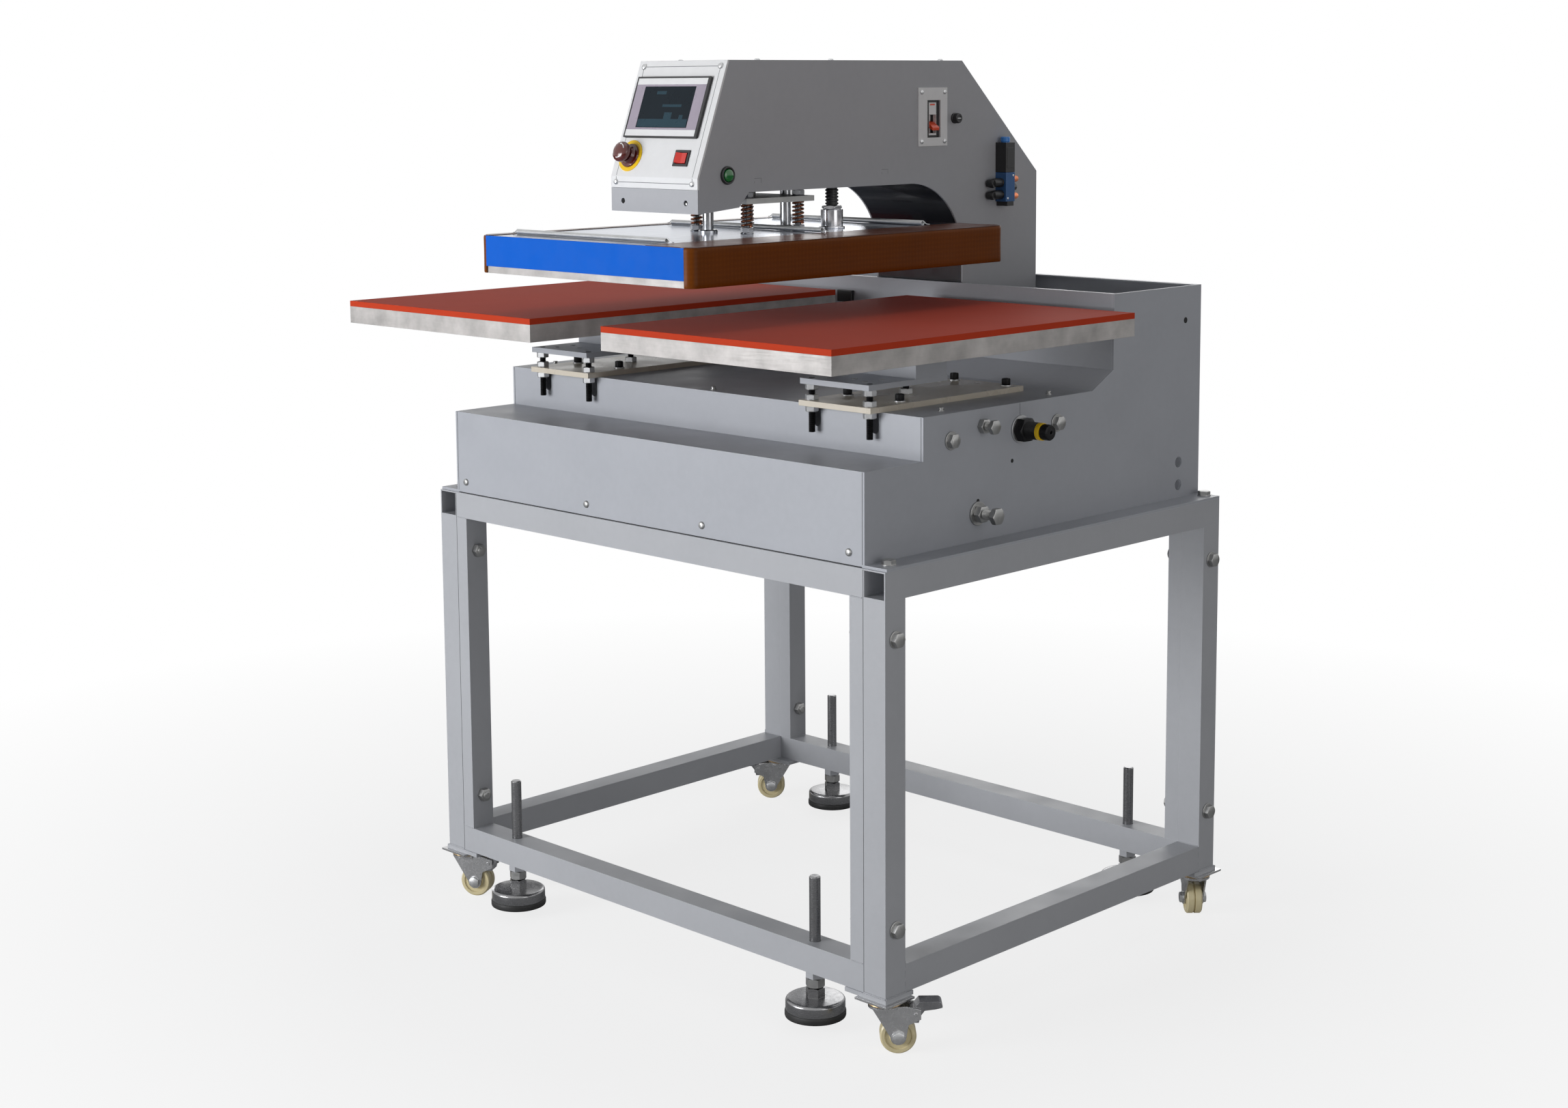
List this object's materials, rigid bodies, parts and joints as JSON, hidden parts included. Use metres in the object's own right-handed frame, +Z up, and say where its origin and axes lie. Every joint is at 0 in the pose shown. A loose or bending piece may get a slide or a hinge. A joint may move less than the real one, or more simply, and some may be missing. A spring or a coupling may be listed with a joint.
{
  "type": "dual station heat press",
  "caption": "Heat press on a wheeled tube stand: a C-shaped head carries a heated platen across two lower platens with silicone pads and presses it down.",
  "frame": {"origin": "on the floor, under the middle of the footprint", "axes": "+X to the right of the operator, +Y from the operator to the back, +Z up"},
  "size_m": [1.0508, 0.9584, 1.3497],
  "materials": {
    "frame_paint": "satin",
    "cabinet_paint": "satin",
    "head_paint": "satin",
    "zinc": "satin",
    "black_steel": "satin",
    "aluminium": "satin",
    "heater": "satin",
    "silicone": "matte",
    "plate_cream": "satin",
    "panel_white": "satin",
    "blue": "satin",
    "brown": "satin",
    "spring_brown": "satin",
    "nylon": "matte",
    "screen": "gloss",
    "black_plastic": "satin",
    "red": "gloss",
    "dark_red": "gloss",
    "green": "gloss",
    "valve_blue": "satin",
    "foot_steel": "satin"
  },
  "bodies": {
    "stand": {"side_frame_left": "frame_paint", "side_frame_right": "frame_paint", "front_frame": "frame_paint", "rear_frame": "frame_paint", "stand_fasteners": "zinc", "cabinet_sides": "cabinet_paint", "front_cover": "cabinet_paint", "deck_panel": "cabinet_paint", "rear_panel": "cabinet_paint", "cabinet_fasteners": "black_steel", "support_beams": "zinc", "traverse_cylinder": "aluminium", "shock_absorbers": "black_steel", "station_plates": "plate_cream", "platen_supports": "frame_paint", "station_screws": "black_steel", "station_nuts": "zinc", "lower_platens": "aluminium", "silicone_pads": "silicone", "caster_plates": "zinc"},
    "head": {"head_carriage": "frame_paint", "head_sides": "head_paint", "head_cover": "head_paint", "arch_liner": "head_paint", "control_panel": "panel_white", "head_front_plate": "head_paint", "head_screws": "zinc", "touch_screen": "screen", "panel_fittings": "black_plastic", "breaker_plate": "panel_white", "solenoid_valve": "valve_blue", "press_cylinder": "aluminium"},
    "press_head": {"heating_plate": "heater", "heater_cover": "heater", "front_guard": "blue", "side_guards": "brown", "hanger_plate": "foot_steel", "press_posts": "zinc", "press_springs": "spring_brown", "terminal_box": "zinc"},
    "e_stop": {"e_stop_knob": "dark_red"},
    "rocker": {"power_rocker": "red"},
    "start": {"start_button": "green"},
    "breaker_toggle": {"breaker_lever": "red"},
    "foot_fl": {"foot_fl": "foot_steel"},
    "foot_fr": {"foot_fr": "foot_steel"},
    "foot_rl": {"foot_rl": "foot_steel"},
    "foot_rr": {"foot_rr": "foot_steel"},
    "fork_fl": {"caster_fork_fl": "zinc"},
    "wheel_fl": {"caster_wheel_fl": "nylon"},
    "pedal_fl": {"brake_pedal_fl": "black_steel"},
    "fork_fr": {"caster_fork_fr": "zinc"},
    "wheel_fr": {"caster_wheel_fr": "nylon"},
    "pedal_fr": {"brake_pedal_fr": "black_steel"},
    "fork_rl": {"caster_fork_rl": "zinc"},
    "wheel_rl": {"caster_wheel_rl": "nylon"},
    "pedal_rl": {"brake_pedal_rl": "black_steel"},
    "fork_rr": {"caster_fork_rr": "zinc"},
    "wheel_rr": {"caster_wheel_rr": "nylon"},
    "pedal_rr": {"brake_pedal_rr": "black_steel"}
  },
  "joints": [
    {"name": "head_traverse", "type": "slide", "parent": "stand", "child": "head", "axis": [1, 0, 0], "range_m": [-0.342, 0.252]},
    {"name": "press_stroke", "type": "slide", "parent": "head", "child": "press_head", "axis": [0, 0, -1], "range_m": [0, 0.0615]},
    {"name": "e_stop_press", "type": "slide", "parent": "head", "child": "e_stop", "axis": [0, 0.9375, -0.3481], "range_m": [0, 0.004], "stiffness_N_per_m": 400, "springref_m": -0.002},
    {"name": "rocker_tip", "type": "hinge", "parent": "head", "child": "rocker", "pos_m": [0.094, -0.32984, 1.20984], "axis": [0, 0.3481, 0.9375], "range_deg": [-16, 0]},
    {"name": "start_press", "type": "slide", "parent": "head", "child": "start", "axis": [-1, 0, 0], "range_m": [0, 0.003], "stiffness_N_per_m": 300, "springref_m": -0.002},
    {"name": "breaker_toggle_tip", "type": "hinge", "parent": "head", "child": "breaker_toggle", "pos_m": [0.1285, 0.15668, 1.2507], "axis": [0, -1, 0], "range_deg": [0, 55]},
    {"name": "foot_screw_fl", "type": "slide", "parent": "stand", "child": "foot_fl", "axis": [0, 0, -1], "range_m": [0, 0.05]},
    {"name": "foot_screw_fr", "type": "slide", "parent": "stand", "child": "foot_fr", "axis": [0, 0, -1], "range_m": [0, 0.05]},
    {"name": "foot_screw_rl", "type": "slide", "parent": "stand", "child": "foot_rl", "axis": [0, 0, -1], "range_m": [0, 0.05]},
    {"name": "foot_screw_rr", "type": "slide", "parent": "stand", "child": "foot_rr", "axis": [0, 0, -1], "range_m": [0, 0.05]},
    {"name": "caster_swivel_fl", "type": "hinge", "parent": "stand", "child": "fork_fl", "pos_m": [-0.4615, -0.31357, 0.07], "axis": [0, 0, 1], "continuous": true},
    {"name": "caster_roll_fl", "type": "hinge", "parent": "fork_fl", "child": "wheel_fl", "pos_m": [-0.44591, -0.30457, 0.025], "axis": [-0.5, 0.866, 0], "continuous": true},
    {"name": "brake_fl", "type": "hinge", "parent": "fork_fl", "child": "pedal_fl", "pos_m": [-0.42513, -0.29257, 0.057], "axis": [-0.5, 0.866, 0], "range_deg": [0, 9]},
    {"name": "caster_swivel_fr", "type": "hinge", "parent": "stand", "child": "fork_fr", "pos_m": [0.4615, -0.31357, 0.07], "axis": [0, 0, 1], "continuous": true},
    {"name": "caster_roll_fr", "type": "hinge", "parent": "fork_fr", "child": "wheel_fr", "pos_m": [0.47423, -0.30084, 0.025], "axis": [-0.7071, 0.7071, 0], "continuous": true},
    {"name": "brake_fr", "type": "hinge", "parent": "fork_fr", "child": "pedal_fr", "pos_m": [0.4912, -0.28387, 0.057], "axis": [-0.7071, 0.7071, 0], "range_deg": [0, 9]},
    {"name": "caster_swivel_rl", "type": "hinge", "parent": "stand", "child": "fork_rl", "pos_m": [-0.4615, 0.41543, 0.07], "axis": [0, 0, 1], "continuous": true},
    {"name": "caster_roll_rl", "type": "hinge", "parent": "fork_rl", "child": "wheel_rl", "pos_m": [-0.47423, 0.4027, 0.025], "axis": [0.7071, -0.7071, 0], "continuous": true},
    {"name": "brake_rl", "type": "hinge", "parent": "fork_rl", "child": "pedal_rl", "pos_m": [-0.4912, 0.38573, 0.057], "axis": [0.7071, -0.7071, 0], "range_deg": [0, 9]},
    {"name": "caster_swivel_rr", "type": "hinge", "parent": "stand", "child": "fork_rr", "pos_m": [0.4615, 0.41543, 0.07], "axis": [0, 0, 1], "continuous": true},
    {"name": "caster_roll_rr", "type": "hinge", "parent": "fork_rr", "child": "wheel_rr", "pos_m": [0.44877, 0.42816, 0.025], "axis": [-0.7071, -0.7071, 0], "continuous": true},
    {"name": "brake_rr", "type": "hinge", "parent": "fork_rr", "child": "pedal_rr", "pos_m": [0.4318, 0.44513, 0.057], "axis": [-0.7071, -0.7071, 0], "range_deg": [0, 9]}
  ]
}
